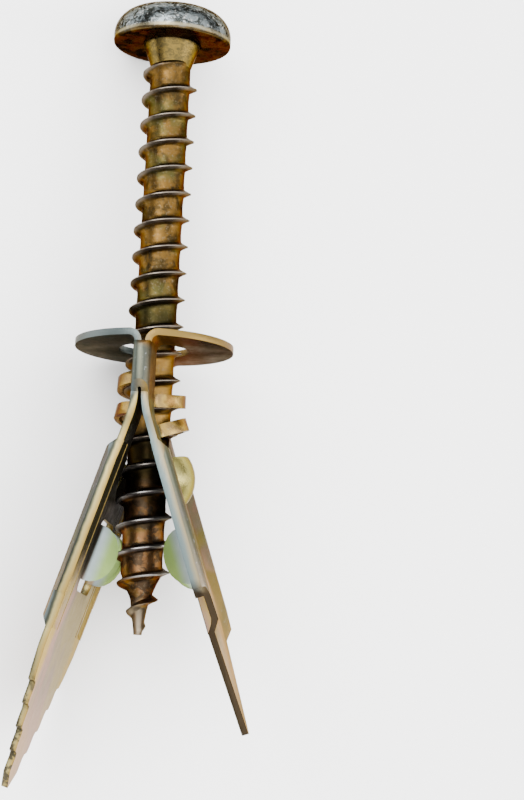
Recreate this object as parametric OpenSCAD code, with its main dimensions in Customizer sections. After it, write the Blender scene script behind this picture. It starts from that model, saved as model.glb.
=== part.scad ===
// Folded sheet-steel plasterboard plug, opened by its part-driven pan-head screw.
// It lies as it comes to rest, on one ear, the long leaf's edge and the rim of the screw's head:
// +Z is up and +Y runs along the screw to its head.
// Parts are drawn with the screw's axis on Y and the flange's underside at y = 0. There x is measured
// from the middle plane between the two leaves, z across them, and a station v down the sheet.

/* [Sheet] */
// Thickness of the sheet
sheet_t = 0.5; // [0.4:0.05:0.6]
// Gap between the two leaves where they lie together
leaf_gap = 0.25; // [0.2:0.05:0.35]

/* [Flange] */
// Radius of the round flange
flange_r = 5.95; // [5.6:0.05:6.15]
// Inner radius of the bend between a leaf and its half of the flange
flange_bend_r = 0.5; // [0.3:0.05:0.7]
// Radius of the bore for the screw
bore_r = 2.65; // [2.5:0.05:2.8]

/* [Ears] */
// Half of the width across the two ears that join the leaves
ear_half_w = 7; // [6.8:0.1:7.4]
// Station where the ears begin
ear_start = 0.55; // [0.5:0.05:0.8]
// Corner radius at the top of an ear
ear_corner_r = 0.45; // [0.2:0.05:0.6]
// Station where the ears end and the leaves part
ear_end = 4.25; // [4:0.05:4.6]

/* [Leaves] */
// Length of each leaf's bend below the ears
neck_len = 1.9; // [1.6:0.1:2.4]
// Angle to which the long toothed leaf is spread
spread_long = 17.6; // [17.2:0.1:24]
// Angle to which the short leaf is spread
spread_short = 19.1; // [17.2:0.1:24]
// Half width of the neck
neck_half_w = 6.2; // [5.9:0.1:6.4]
// Half width at the top of the side flanges
body_half_w = 6.5; // [6.45:0.05:6.7]
// Half width at the end of the side flanges
waist_half_w = 6.3; // [6.1:0.05:6.4]
// Step in from a side flange to the plain leaf below it
flange_step = 0.17; // [0.1:0.01:0.25]
// Station of the long leaf's point
long_tip_v = 34.1; // [33.8:0.1:36]
// Station of the short leaf's point
short_tip_v = 29.5; // [28.5:0.1:31]
// Half width of the short leaf's blunt point
short_tip_half_w = 0.35; // [0.2:0.05:0.8]

/* [Side beads] */
// Height by which a bead stands out of its leaf
bead_h = 0.55; // [0.35:0.05:0.7]
// Distance across the leaf over which a bead rises
bead_ramp = 0.8; // [0.6:0.05:1]
// Width of a bead with its ramp
bead_w = 2.3; // [2:0.05:2.6]
// Outer radius along a bead's edge
bead_r = 0.6; // [0.55:0.05:0.7]
// Depth of the side flange below the leaf's inner face
lip_drop = 0.05; // [0:0.01:0.1]
// Station where the beads begin
bead_start = 7.9; // [7.4:0.1:8.2]
// Station where the beads end
bead_end = 22.2; // [21.4:0.1:22.6]
// Station where the long leaf's side flange ends
lip_end_long = 19.6; // [19:0.1:20.4]
// Station where the short leaf's side flange ends
lip_end_short = 19.05; // [18.8:0.05:19.6]

/* [Opening, strips, scoop and window] */
// Half width of the opening for the screw
opening_half_w = 3; // [2.97:0.01:3.1]
// Half width of that opening at its lower end
opening_end_half_w = 2.88; // [2.8:0.02:2.96]
// Station where that opening ends
opening_end = 8.73; // [8.6:0.05:8.9]
// Clearance between the screw's thread and the strips
strip_clearance = 0.08; // [0.06:0.01:0.1]
// Thickness to which a strip's metal is drawn out
strip_t = 0.42; // [0.36:0.02:0.46]
// Width of a strip along the screw
strip_h = 0.95; // [0.8:0.05:1]
// Radius of the fillet between a strip and its leaf, at the middle of the sheet
strip_root_r = 0.78; // [0.7:0.02:0.78]
// Station of the long leaf's first strip
long_strip_v = 2.8; // [2.7:0.05:2.9]
// Station of the short leaf's first strip
short_strip_v = 3.86; // [3.8:0.02:3.9]
// Distance from one strip of a leaf to its next
strip_pitch = 2.42; // [2.3:0.02:2.5]
// Radius of the scoop's dome
scoop_r = 2.9; // [2.8:0.05:3]
// Height of the scoop above the leaf
scoop_h = 1.5; // [1.4:0.05:1.6]
// Station of the scoop's crown
scoop_v = 9.6; // [9.5:0.05:9.7]
// Thickness to which the scoop's metal is drawn out
scoop_wall = 0.42; // [0.36:0.02:0.46]
// Half width of the window
window_half_w = 2.6; // [2.4:0.05:2.8]
// Station where the window begins
window_start = 13.4; // [13:0.1:13.8]
// Station where the window ends
window_end = 19; // [18.6:0.1:19.4]
// Corner radius of the opening and the window
corner_r = 0.7; // [0.4:0.05:0.9]
// Station of the middle of the rounded tabs beside the window
tab_v = 16; // [15.8:0.1:16.4]
// Length of a tab past its bend
tab_len = 1.75; // [1.4:0.05:1.8]
// Angle to which the tabs are bent inwards
tab_angle = 70; // [64:1:76]
// Inner radius of a tab's bend
tab_bend_r = 0.3; // [0.2:0.05:0.4]
// Length of a tab's root along the leaf
tab_root = 4.2; // [3.8:0.1:4.4]

/* [Teeth of the long leaf] */
// Number of teeth on each side
teeth = 4; // [3:1:4]
// Distance along the leaf from one tooth to the next
tooth_pitch = 1.75; // [1.6:0.05:1.85]
// Distance across the leaf from one tooth to the next
tooth_step = 0.97; // [0.9:0.01:1]
// Station where the long leaf begins to taper
taper_start = 22.5; // [22:0.1:23]
// Station of the first tooth's point
tooth_start = 26.1; // [26:0.1:26.6]
// Half width at the first tooth's point
tooth_half_w = 5.05; // [4.9:0.05:5.2]

/* [Rest] */
// Angle by which it rolls over onto the long leaf's edge
rest_roll = 23.92; // [23.5:0.02:24.5]

/* [Screw] */
// Length of the screw below its head
screw_len = 45.15; // [40:0.05:50]
// Distance from the flange's underside down to the screw's point
screw_depth = 21.3; // [20:0.1:30]
// Radius of the head
head_r = 4.49; // [4.2:0.01:4.8]
// Width of the slanted edge round the head's underside
head_edge = 0.2; // [0.1:0.05:0.3]
// Width of the relief between the flare and the head's seat
relief_w = 0.25; // [0.2:0.05:0.4]
// Depth of that relief
relief_h = 0.1; // [0.05:0.05:0.2]
// Height at which the head's side turns into its shoulder
head_side_h = 0.7; // [0.5:0.05:1]
// Radius of the head's shoulder
head_shoulder_r = 1.9; // [1.6:0.05:2.1]
// Angle at which the shoulder meets the shallow dome on top
head_dome_angle = 18; // [14:1:22]
// Radius of the flare under the head
flare_r = 2.15; // [2:0.05:2.3]
// Length of the flare
flare_len = 1.8; // [1.4:0.1:2.2]
// Radius of the screw's core
core_r = 1.53; // [1.4:0.01:1.6]
// Radius of the thread's crest
thread_r = 2.1; // [2:0.01:2.12]
// Pitch of the thread
thread_pitch = 2.06; // [1.8:0.01:2.2]
// Width of the thread's root
thread_root_w = 0.7; // [0.5:0.05:0.8]
// Width of the thread's crest
thread_crest_w = 0.08; // [0.06:0.01:0.14]
// Plain length between the head and the thread
plain_len = 2.3; // [1.8:0.1:3]
// Length over which the thread grows out of the core under the head
thread_fade = 0.8; // [0.4:0.1:1.2]
// Angle about the axis at which the thread ends under the head
thread_turn = 69; // [0:1:359]
// Length of the screw's point
point_len = 4.5; // [4:0.1:5]
// Length of the slender end of the point
point_neck_len = 2.6; // [2:0.1:3]
// Radius where the slender end begins
point_neck_r = 0.7; // [0.6:0.05:0.9]
// Radius of the blunt end of the point
point_r = 0.3; // [0.2:0.05:0.4]
// Width of the cross recess in the head
recess_w = 4.6; // [4:0.1:5]
// Width of one slot of the cross recess
recess_slot = 1; // [0.8:0.05:1.2]
// Depth of the cross recess
recess_depth = 2; // [1.6:0.1:2.2]

/* [Hidden] */
$fn = 64;
overlap = 0.2;
seam = 0.01;
sunk = 0.1;
big = 40;
zinc_yellow = [0.62, 0.54, 0.42];
bronze = [0.66, 0.52, 0.33];

// Faces of a leaf, counted from the plane between the two leaves.
face_in = leaf_gap / 2;
face_out = face_in + sheet_t;
face_mid = (face_in + face_out) / 2;

// Bend between leaf and flange.
flange_bend_x = face_out + flange_bend_r;

// The strips hug the thread, and their slope follows it.
strip_r_in = thread_r + strip_clearance;
strip_r_mid = strip_r_in + strip_t / 2;
strip_slope = atan(thread_pitch / (2 * PI * strip_r_in));
strip_root_z = sqrt(pow(strip_r_mid + strip_root_r, 2) - pow(face_mid + strip_root_r, 2));

// The dome's centre stands behind the leaf.
scoop_x = face_out + scoop_h - scoop_r;
scoop_rim_r = sqrt(pow(scoop_r, 2) - pow(face_out - scoop_x, 2));
scoop_mouth_r = sqrt(pow(scoop_r - scoop_wall, 2) - pow(face_in - scoop_x, 2));

// Taper of the side flanges.
side_angle = atan((body_half_w - waist_half_w) / (lip_end_long - bead_start));

// Screw: head, seat and thread.
head_y = screw_len - screw_depth;
shoulder_x = head_r - head_shoulder_r;
dome_edge_r = shoulder_x + head_shoulder_r * sin(head_dome_angle);
dome_r = dome_edge_r / sin(head_dome_angle);
dome_rise = dome_r * (1 - cos(head_dome_angle));
head_h = head_side_h + head_shoulder_r * cos(head_dome_angle) + dome_rise;
thread_faces = 18;
thread_sunk = 0.12;
thread_len = screw_len - plain_len + thread_fade - thread_root_w;
thread_steps = floor(thread_len / thread_pitch * thread_faces);
point_profile = [[0, point_r], [point_neck_len, point_neck_r], [point_len, core_r]];

// Point of the long leaf: the corners at its base.
arrow_z = tooth_half_w - teeth * tooth_step + 0.15;
arrow_v = tooth_start + teeth * tooth_pitch - 0.2;

// Place of a point (x, v) of a spread leaf.
function bend_x(angle) = face_mid + neck_len * 180 / PI / angle;
function leaf_x(v, x, angle) =
    bend_x(angle) + (x - bend_x(angle)) * cos(angle) + (v - ear_end - neck_len) * sin(angle);
function leaf_y(v, x, angle) =
    -ear_end + (x - bend_x(angle)) * sin(angle) - (v - ear_end - neck_len) * cos(angle);

// Rest: the ear and the rim of the head touch the ground together.
ear_reach = (ear_half_w - face_out) * cos(rest_roll) + face_out;
rest_pitch = atan((ear_reach - head_r) / (head_y + head_side_h + ear_start + ear_corner_r / 2));
rest_h = (head_y + head_side_h) * sin(rest_pitch) + head_r * cos(rest_pitch);

// Middle of the whole as it rests, from the leaves' points and the dome of the head.
function rest_x(x, z) = x * cos(rest_roll) - z * sin(rest_roll);
low_x = rest_x(-leaf_x(arrow_v, face_out, spread_long), arrow_z);
high_x = rest_x(leaf_x(short_tip_v, face_out, spread_short), -short_tip_half_w);
low_y = leaf_y(long_tip_v, face_in, spread_long) * cos(rest_pitch)
    - leaf_x(long_tip_v, face_in, spread_long) * sin(rest_roll) * sin(rest_pitch);
high_y = (head_y + head_h - dome_r) * cos(rest_pitch) + dome_r;

// Points of an arc, counted from one angle to the other.
function arc(centre, r, from, to, n) =
    [for (i = [0:n]) centre + r * [cos(from + (to - from) * i / n), sin(from + (to - from) * i / n)]];

// The second half of an outline that is the same on both sides of its middle.
function both_sides(half) = concat(half, [for (i = [len(half) - 1:-1:0]) [-half[i][0], half[i][1]]]);

// Lays what is drawn about the screw's axis down as it rests, with its middle over the origin.
module lying() {
    translate([-(low_x + high_x) / 2, -(low_y + high_y) / 2, rest_h])
        rotate([-rest_pitch, 0, 0])
            rotate([0, -rest_roll, 0])
                children();
}

// Cuts a drawing of (z, -v) through the sheet, from x0 to x1.
module through_leaf(x0, x1) {
    translate([x0, 0, 0])
        rotate([0, 90, 0])
            linear_extrude(x1 - x0)
                children();
}

// Runs a section of (x, z) along the screw's axis, from station v1 up to v0.
module along_screw(v0, v1) {
    translate([0, -v1, 0])
        rotate([-90, 0, 0])
            linear_extrude(v1 - v0)
                children();
}

// Carries what is drawn at y = 0 to a station of a leaf that bends away by an angle.
module at_station(v, angle) {
    turned = min(max((v - ear_end) / neck_len, 0), 1) * angle;
    past = max(v - ear_end - neck_len, 0);
    translate([bend_x(angle), -min(v, ear_end), 0])
        rotate([0, 0, turned])
            translate([-bend_x(angle), -past, 0])
                children();
}

// Half of the flange and the bend down to its leaf.
module flange_half() {
    intersection() {
        rotate([90, 0, 0])
            cylinder(r = flange_r, h = 2 * (flange_bend_r + sheet_t), center = true);
        linear_extrude(2 * flange_r + 1, center = true) {
            translate([flange_bend_x, 0])
                square([flange_r, sheet_t]);
            translate([flange_bend_x, -flange_bend_r])
                intersection() {
                    difference() {
                        circle(r = flange_bend_r + sheet_t);
                        circle(r = flange_bend_r);
                    }
                    translate([-flange_bend_r - sheet_t, 0])
                        square(flange_bend_r + sheet_t);
                }
        }
    }
}

// Outline of the leaves over the height of the ears.
module ear_outline() {
    chamfer = ear_half_w - neck_half_w;
    polygon(both_sides(concat(
        [[flange_r, -flange_bend_r], [flange_r, -ear_start]],
        arc([ear_half_w - ear_corner_r, -ear_start - ear_corner_r], ear_corner_r, 90, 0, 5),
        [[ear_half_w, -ear_end + chamfer], [neck_half_w, -ear_end], [neck_half_w, -ear_end - 1]]
    )));
}

// The folded sheet between the flange and the necks, with both ears.
module collar() {
    fold_z = ear_half_w - face_out;
    intersection() {
        through_leaf(-face_out, face_out)
            ear_outline();
        along_screw(0, ear_end + sunk)
            difference() {
                union() {
                    square([2 * face_out, 2 * fold_z], center = true);
                    for (side = [-1, 1])
                        translate([0, side * fold_z])
                            circle(r = face_out);
                }
                square([2 * face_in, 2 * fold_z], center = true);
                for (side = [-1, 1])
                    translate([0, side * fold_z])
                        circle(r = face_in);
            }
    }
}

// Bend by which a leaf turns away from the other. It is a hair thicker and wider than the sheet,
// so that the straight sheet above and below it sinks into it.
module neck(angle) {
    translate([bend_x(angle), -ear_end, 0])
        rotate([0, 0, 180])
            rotate_extrude(angle = angle, $fn = 256)
                translate([bend_x(angle) - face_out - seam, -neck_half_w - seam])
                    square([sheet_t + 2 * seam, 2 * (neck_half_w + seam)]);
}

// Section of a strip: an arch about the screw with a fillet at each root.
module strip_section() {
    root_t = 0.75 * strip_t;
    fillet_x = face_mid + strip_root_r;
    tangent = atan2(strip_root_z, fillet_x);
    difference() {
        circle(r = strip_r_mid + strip_t / 2);
        circle(r = strip_r_in);
        polygon([[0, 0], big * [cos(tangent), sin(tangent)], [-big, big], [-big, -big],
                 big * [cos(tangent), -sin(tangent)]]);
    }
    for (side = [-1, 1])
        translate([fillet_x, side * strip_root_z])
            intersection() {
                difference() {
                    circle(r = strip_root_r + strip_t / 2);
                    circle(r = strip_root_r - strip_t / 2);
                }
                polygon([[0, 0], [-big, 0], [-big, -side * big], -big * [cos(tangent), side * sin(tangent)]]);
            }
    for (side = [-1, 1])
        translate([face_mid - root_t / 2, side * (strip_root_z + overlap / 2) - overlap])
            square([root_t, 2 * overlap]);
}

// One strip, sloped with the thread.
module strip(slope) {
    rotate([slope, 0, 0])
        along_screw(-strip_h / 2, strip_h / 2)
            strip_section();
}

// Lower end of the opening for the screw.
module opening_outline() {
    polygon(both_sides(concat(
        [[opening_half_w - 2 * seam, -ear_end - neck_len - 2 * overlap]],
        arc([opening_end_half_w - corner_r, -opening_end + corner_r], corner_r, 0, -90, 5)
    )));
}

// Window below the scoop.
module window_outline() {
    polygon(both_sides(concat(
        arc([window_half_w - corner_r, -window_start - corner_r], corner_r, 90, 0, 5),
        arc([window_half_w - corner_r, -window_end + corner_r], corner_r, 0, -90, 5)
    )));
}

// Half outline of a leaf over its side flanges, down to where they end.
function flanged_side(lip_end) = [
    [neck_half_w, -ear_end], [neck_half_w, -bead_start], [body_half_w, -bead_start - 1.6],
    [waist_half_w, -lip_end], [waist_half_w - flange_step, -lip_end]
];

// Long leaf: rounded shoulders, teeth and an arrow point.
module long_outline() {
    plain_z = waist_half_w - flange_step;
    first_z = tooth_half_w;
    tooth = [[0, 0], [-0.62, 0.12], [-0.8, 0.45], [-0.8, 1.25]];
    polygon(both_sides(concat(
        flanged_side(lip_end_long),
        [[plain_z, -taper_start], [plain_z - 0.05, -taper_start - 1.1],
         [first_z + 0.72, -tooth_start + 1.6], [first_z + 0.4, -tooth_start + 0.7]],
        [for (i = [0:teeth - 1]) for (p = tooth)
            [first_z - i * tooth_step + p[0], -tooth_start - i * tooth_pitch - p[1]]],
        [[arrow_z, -arrow_v], [0, -long_tip_v]]
    )));
}

// Short leaf: a plain straight taper to a blunt point.
module short_outline() {
    polygon(both_sides(concat(flanged_side(lip_end_short), [[short_tip_half_w, -short_tip_v]])));
}

// Section of one bead with its side flange, as (z, x), grown out of the leaf's outer face.
module bead_section() {
    edge_z = body_half_w;
    polygon(concat(
        [[edge_z, face_in - lip_drop], [edge_z - bead_w - overlap, face_in - lip_drop],
         [edge_z - bead_w - overlap, face_out], [edge_z - bead_w, face_out],
         [edge_z - bead_w + bead_ramp, face_out + bead_h]],
        arc([edge_z - bead_r, face_out + bead_h - bead_r], bead_r, 90, 0, 5)
    ));
}

// Hollow behind one bead, one sheet thickness inside its outer face.
module bead_hollow_section() {
    edge_z = body_half_w - sheet_t;
    ramp_shift = sheet_t * tan(atan2(bead_h, bead_ramp) / 2);
    foot_z = body_half_w - bead_w + ramp_shift;
    polygon([
        [edge_z, face_in - 1], [foot_z, face_in - 1], [foot_z, face_in],
        [foot_z + bead_ramp, face_in + bead_h], [edge_z, face_in + bead_h]
    ]);
}

// Side view of a bead, (v, x), with sloped ends; lower by one sheet thickness for its hollow.
module bead_side(inset) {
    end_slope = 0.8;
    top = face_out + bead_h - inset;
    base = face_out - inset;
    polygon([
        [bead_start, -1], [bead_start, base], [bead_start + end_slope, top],
        [bead_end - end_slope, top], [bead_end, base], [bead_end, -1]
    ]);
}

// A solid along one side of the leaf that has one profile across it and another along it.
module bead_solid(side, inset) {
    mirror([0, 0, side < 0 ? 1 : 0])
        translate([0, -bead_start, body_half_w])
            rotate([side_angle, 0, 0])
                translate([0, bead_start, -body_half_w])
                    intersection() {
                        translate([0, -bead_end - 1, 0])
                            rotate([-90, -90, 0])
                                linear_extrude(bead_end - bead_start + 2)
                                    children();
                        rotate([0, 0, -90])
                            linear_extrude(big, center = true)
                                bead_side(inset);
                    }
}

// Dome of the scoop, closed by its foot in the leaf.
module scoop() {
    from = acos((face_out - scoop_x) / scoop_r);
    mouth_from = acos((face_in - scoop_x) / (scoop_r - scoop_wall));
    translate([0, -scoop_v, 0])
        rotate([0, 90, 0])
            rotate_extrude()
                polygon(concat(
                    [[scoop_mouth_r, face_in], [scoop_rim_r, face_in]],
                    arc([0, scoop_x], scoop_r, 90 - from, 90, 8),
                    arc([0, scoop_x], scoop_r - scoop_wall, 90, 90 - mouth_from, 8)
                ));
}

// A leaf with its beads, opening, scoop and window, straight, at its place in the flat plug.
module flat_leaf() {
    difference() {
        union() {
            difference() {
                union() {
                    intersection() {
                        through_leaf(face_in, face_out)
                            children();
                        cube([big, 2 * big, 2 * neck_half_w], center = true);
                    }
                    intersection() {
                        for (side = [-1, 1])
                            bead_solid(side, 0)
                                bead_section();
                        through_leaf(face_in - 1, face_out + 2)
                            children();
                    }
                }
                for (side = [-1, 1])
                    bead_solid(side, sheet_t)
                        bead_hollow_section();
                through_leaf(face_in - 1, face_out + 1)
                    window_outline();
                translate([0, -scoop_v, 0])
                    rotate([0, 90, 0])
                        cylinder(r = (scoop_rim_r + scoop_mouth_r) / 2, h = 4, center = true);
            }
            scoop();
        }
        through_leaf(face_in - 1, face_out + 3)
            opening_outline();
        translate([-big / 2, -ear_end - neck_len + sunk, -big / 2])
            cube([big, big, big]);
    }
}

// Tabs bent inwards from both edges of the window, with a rounded free edge.
module tabs() {
    reach = tab_bend_r + sheet_t + tab_len;
    for (side = [-1, 1])
        mirror([0, 0, side < 0 ? 1 : 0])
            translate([face_in - tab_bend_r, -tab_v, window_half_w]) {
                rotate([-90, 0, 0])
                    translate([0, 0, -tab_root / 2])
                        linear_extrude(tab_root)
                            intersection() {
                                difference() {
                                    circle(r = tab_bend_r + sheet_t);
                                    circle(r = tab_bend_r);
                                }
                                polygon([[0, 0], [reach, 0], [reach, reach],
                                         [reach * cos(tab_angle), reach * sin(tab_angle)]]);
                            }
                rotate([0, tab_angle, 0])
                    translate([tab_bend_r, 0, 0])
                        rotate([0, 90, 0])
                            linear_extrude(sheet_t)
                                polygon([for (a = [-90:15:90]) [tab_len * cos(a), tab_root / 2 * sin(a)]]);
            }
}

// One whole leaf below its bend, spread by its angle; the outline of its plate is the child.
module leaf(angle) {
    neck(angle);
    at_station(ear_end + neck_len, angle)
        translate([0, ear_end + neck_len, 0]) {
            flat_leaf()
                children();
            tabs();
        }
}

// The two strips of a leaf, the first one at a station.
module strips(first_v, angle, slope) {
    for (i = [0, 1])
        at_station(first_v + i * strip_pitch, angle)
            strip(slope);
}

// Upper part of the opening, cut through the folded sheet and its bends.
module opening_cut() {
    bottom = ear_end + neck_len + 5 * overlap;
    translate([-big / 4, -bottom, -opening_half_w])
        cube([big / 2, bottom - flange_bend_r, 2 * opening_half_w]);
}

// The whole folded sheet.
module plug_body() {
    color(zinc_yellow)
        lying() {
            difference() {
                union() {
                    collar();
                    for (side = [0, 1])
                        mirror([side, 0, 0])
                            flange_half();
                    mirror([1, 0, 0])
                        leaf(spread_long)
                            long_outline();
                    leaf(spread_short)
                        short_outline();
                }
                rotate([90, 0, 0])
                    cylinder(r = bore_r, h = 4 * sheet_t, center = true);
                opening_cut();
            }
            mirror([1, 0, 0])
                strips(long_strip_v, spread_long, -strip_slope);
            strips(short_strip_v, spread_short, strip_slope);
        }
}

// Pan head with a cross recess, its underside at y = 0.
module head() {
    difference() {
        rotate([-90, 0, 0])
            rotate_extrude()
                polygon(concat(
                    [[0, relief_h], [flare_r, relief_h], [flare_r + relief_w, 0],
                     [head_r - head_edge, 0], [head_r, head_edge]],
                    arc([shoulder_x, head_side_h], head_shoulder_r, 0, 90 - head_dome_angle, 6),
                    arc([0, head_h - dome_r], dome_r, 90 - head_dome_angle, 90, 4)
                ));
        translate([0, head_h + 0.01, 0])
            rotate([90, 0, 0])
                intersection() {
                    for (turn = [0, 90])
                        rotate(turn)
                            translate([-recess_w / 2, -recess_slot / 2, 0])
                                cube([recess_w, recess_slot, recess_depth]);
                    cylinder(r1 = recess_w / 2, r2 = recess_slot / 2, h = recess_depth);
                }
    }
}

// Radius of the core and of the thread's crest at a height above the screw's point.
function core_at(y) = lookup(y, point_profile);
function crest_at(y) =
    let (grown = point_r + (thread_r - point_r) * min(1, y / point_len),
         fade = min(1, (screw_len - plain_len + thread_fade - y) / thread_fade))
        core_at(y) - thread_sunk / 2 + (grown - core_at(y) + thread_sunk / 2) * fade;

// Four corners of the thread's section, number i down the helix from the head.
function thread_ring(i) =
    let (turn = thread_turn - i * 360 / thread_faces,
         y = screw_len - plain_len + thread_fade - i * thread_pitch / thread_faces,
         out = [sin(turn), 0, cos(turn)])
        [for (corner = [[0, 1], [1, 1], [1, -1], [0, -1]])
            let (r = corner[0] == 1 ? crest_at(y) : core_at(y - thread_root_w / 2) - thread_sunk,
                 w = corner[0] == 1 ? thread_crest_w : thread_root_w)
                r * out + [0, y + corner[1] * w / 2, 0]];

// Right-hand thread as one ridge wound about the core.
module thread() {
    count = thread_steps;
    points = [for (i = [0:count]) for (p = thread_ring(i)) p];
    sides = [for (i = [0:count - 1]) for (k = [0:3])
        [4 * i + k, 4 * i + (k + 1) % 4, 4 * i + 4 + (k + 1) % 4, 4 * i + 4 + k]];
    polyhedron(points, concat([[3, 2, 1, 0]], sides, [[4 * count, 4 * count + 1, 4 * count + 2, 4 * count + 3]]));
}

// The screw, at the depth to which it is driven.
module screw() {
    color(bronze)
        lying()
            translate([0, -screw_depth, 0]) {
                translate([0, screw_len, 0])
                    head();
                rotate([-90, 0, 0])
                    rotate_extrude()
                        polygon([[0, 0], [point_r, 0], [point_neck_r, point_neck_len], [core_r, point_len],
                                 [core_r, screw_len - flare_len],
                                 [flare_r, screw_len], [flare_r, screw_len + 2 * overlap],
                                 [0, screw_len + 2 * overlap]]);
                thread();
            }
}

plug_body();
screw();
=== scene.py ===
"""Looks of an opened plasterboard plug with its part-driven screw, laid on a pale floor."""

import math

import bmesh
import bpy
from bpy.props import FloatProperty, FloatVectorProperty, IntProperty, PointerProperty
from mathutils import Matrix, Vector


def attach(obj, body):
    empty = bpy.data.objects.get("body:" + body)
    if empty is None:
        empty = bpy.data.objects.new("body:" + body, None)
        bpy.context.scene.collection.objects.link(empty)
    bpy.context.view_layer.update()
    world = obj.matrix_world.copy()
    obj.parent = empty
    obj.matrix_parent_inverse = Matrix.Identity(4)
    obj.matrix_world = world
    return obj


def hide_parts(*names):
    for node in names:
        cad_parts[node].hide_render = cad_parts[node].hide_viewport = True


bl_info = {
    "name": "Opened plasterboard plug",
    "version": (1, 0, 0),
    "blender": (4, 5, 0),
    "location": "View3D > Sidebar > Plug",
    "description": "Finishes the folded sheet and the screw of a plasterboard plug and lights them",
    "category": "Object",
}

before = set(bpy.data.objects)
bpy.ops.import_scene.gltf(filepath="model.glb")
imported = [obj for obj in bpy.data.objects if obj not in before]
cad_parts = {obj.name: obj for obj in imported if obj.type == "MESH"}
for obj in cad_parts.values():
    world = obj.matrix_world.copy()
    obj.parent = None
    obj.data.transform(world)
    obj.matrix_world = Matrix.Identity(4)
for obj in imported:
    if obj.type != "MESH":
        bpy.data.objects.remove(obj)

MM = 0.001

# How the plug lies: its own axes have the screw along Y and the flange's underside at the origin.
REST_PITCH = 4.43107
REST_ROLL = 23.92
REST_PLACE = (0.391208, 3.10341, 6.3733)
LYING = (
    Matrix.Translation(Vector(REST_PLACE) * MM)
    @ Matrix.Rotation(math.radians(-REST_PITCH), 4, "X")
    @ Matrix.Rotation(math.radians(-REST_ROLL), 4, "Y")
)


# ---------------------------------------------------------------- node trees

# The span that a noise mostly keeps to.
NOISE_SPAN = (0.3, 0.7)


class Wire:
    """An output of a node. Sums, products and powers of wires add their Math nodes."""

    def __init__(self, tree, socket):
        self.tree = tree
        self.socket = socket

    def _math(self, operation, a, b):
        return self.tree.add("ShaderNodeMath", {"operation": operation}, {0: a, 1: b})

    def __add__(self, other):
        return self._math("ADD", self, other)

    def __radd__(self, other):
        return self._math("ADD", other, self)

    def __sub__(self, other):
        return self._math("SUBTRACT", self, other)

    def __rsub__(self, other):
        return self._math("SUBTRACT", other, self)

    def __mul__(self, other):
        return self._math("MULTIPLY", self, other)

    def __rmul__(self, other):
        return self._math("MULTIPLY", other, self)

    def __truediv__(self, other):
        return self._math("DIVIDE", self, other)

    def __rtruediv__(self, other):
        return self._math("DIVIDE", other, self)

    def __pow__(self, other):
        return self._math("POWER", self, other)

    def __abs__(self):
        return self._math("ABSOLUTE", self, 0.0)

    def at_most(self, other):
        return self._math("MINIMUM", self, other)

    def at_least(self, other):
        return self._math("MAXIMUM", self, other)

    def rise(self, low, high, to_low=0.0, to_high=1.0, smooth=False):
        """Maps low..high to to_low..to_high and holds the ends."""
        return self.tree.add(
            "ShaderNodeMapRange",
            {"interpolation_type": "SMOOTHSTEP" if smooth else "LINEAR", "clamp": True},
            {"Value": self, "From Min": low, "From Max": high, "To Min": to_low, "To Max": to_high},
        )


class Tree:
    """A node tree that is filled by adding nodes with their settings and sockets."""

    def __init__(self, tree):
        self.tree = tree

    def node(self, kind, settings=None, sockets=None):
        """Adds one node: its settings first, then the values or links of its sockets."""
        made = self.tree.nodes.new(kind)
        for name, value in (settings or {}).items():
            if name == "stops":
                ramp = made.color_ramp
                while len(ramp.elements) < len(value):
                    ramp.elements.new(1.0)
                for element, (place, colour) in zip(ramp.elements, value):
                    element.position = place
                    element.color = (*colour, 1.0)
            else:
                setattr(made, name, value)
        for key, value in (sockets or {}).items():
            if isinstance(value, Wire):
                self.tree.links.new(value.socket, made.inputs[key])
            elif isinstance(value, tuple) and len(value) == 3 and made.inputs[key].type == "RGBA":
                made.inputs[key].default_value = (*value, 1.0)
            else:
                made.inputs[key].default_value = value
        return made

    def add(self, kind, settings=None, sockets=None, out=0):
        return Wire(self, self.node(kind, settings, sockets).outputs[out])

    def mix(self, share, first, second):
        """Mixes two colours."""
        return self.add("ShaderNodeMix", {"data_type": "RGBA"}, {0: share, 6: first, 7: second}, 2)

    def over(self, tone, mask, colour, share):
        """Lays a colour over a tone where the mask is, up to a share."""
        return self.mix(mask * share, tone, colour)

    def noise(self, place, scale, detail=2.0, rough=0.5, twist=0.0):
        """Noise of a place, with a scale in turns per unit of the place."""
        sockets = {"Vector": place, "Scale": scale, "Detail": detail, "Roughness": rough, "Distortion": twist}
        return self.add("ShaderNodeTexNoise", {}, sockets)

    def ramp(self, share, stops):
        """Colour bands along a share from 0 to 1."""
        return self.add("ShaderNodeValToRGB", {"stops": stops}, {0: share})


def new_material(name):
    """A material with its Principled BSDF, as (material, tree, shader)."""
    material = bpy.data.materials.new(name)
    material.use_nodes = True
    shader = material.node_tree.nodes["Principled BSDF"]
    return material, Tree(material.node_tree), shader


def link(tree, wire, shader, socket):
    """Feeds a socket of a shader."""
    tree.tree.links.new(wire.socket, shader.inputs[socket])


def coat(tree, shader, tone, rough, relief, metallic, tint, strength, distance):
    """Feeds a metal finish: tone, roughness and relief, and the tint of its grazing reflections."""
    link(tree, tone, shader, "Base Color")
    link(tree, rough, shader, "Roughness")
    bump = tree.add("ShaderNodeBump", {}, {"Strength": strength, "Distance": distance, "Height": relief})
    link(tree, bump, shader, "Normal")
    shader.inputs["Metallic"].default_value = metallic
    shader.inputs["Specular Tint"].default_value = (*tint, 1.0)


def object_place(tree):
    """Object coordinates."""
    return tree.add("ShaderNodeTexCoord", {}, {}, 3)


def plug_place(tree):
    """Place on the plug in millimetres, in the plug's own axes."""
    sockets = {
        "Vector": object_place(tree), "Location": tuple(LYING.translation),
        "Rotation": tuple(LYING.to_euler("XYZ")), "Scale": (MM, MM, MM),
    }
    return tree.add("ShaderNodeMapping", {"vector_type": "TEXTURE"}, sockets)


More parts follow.
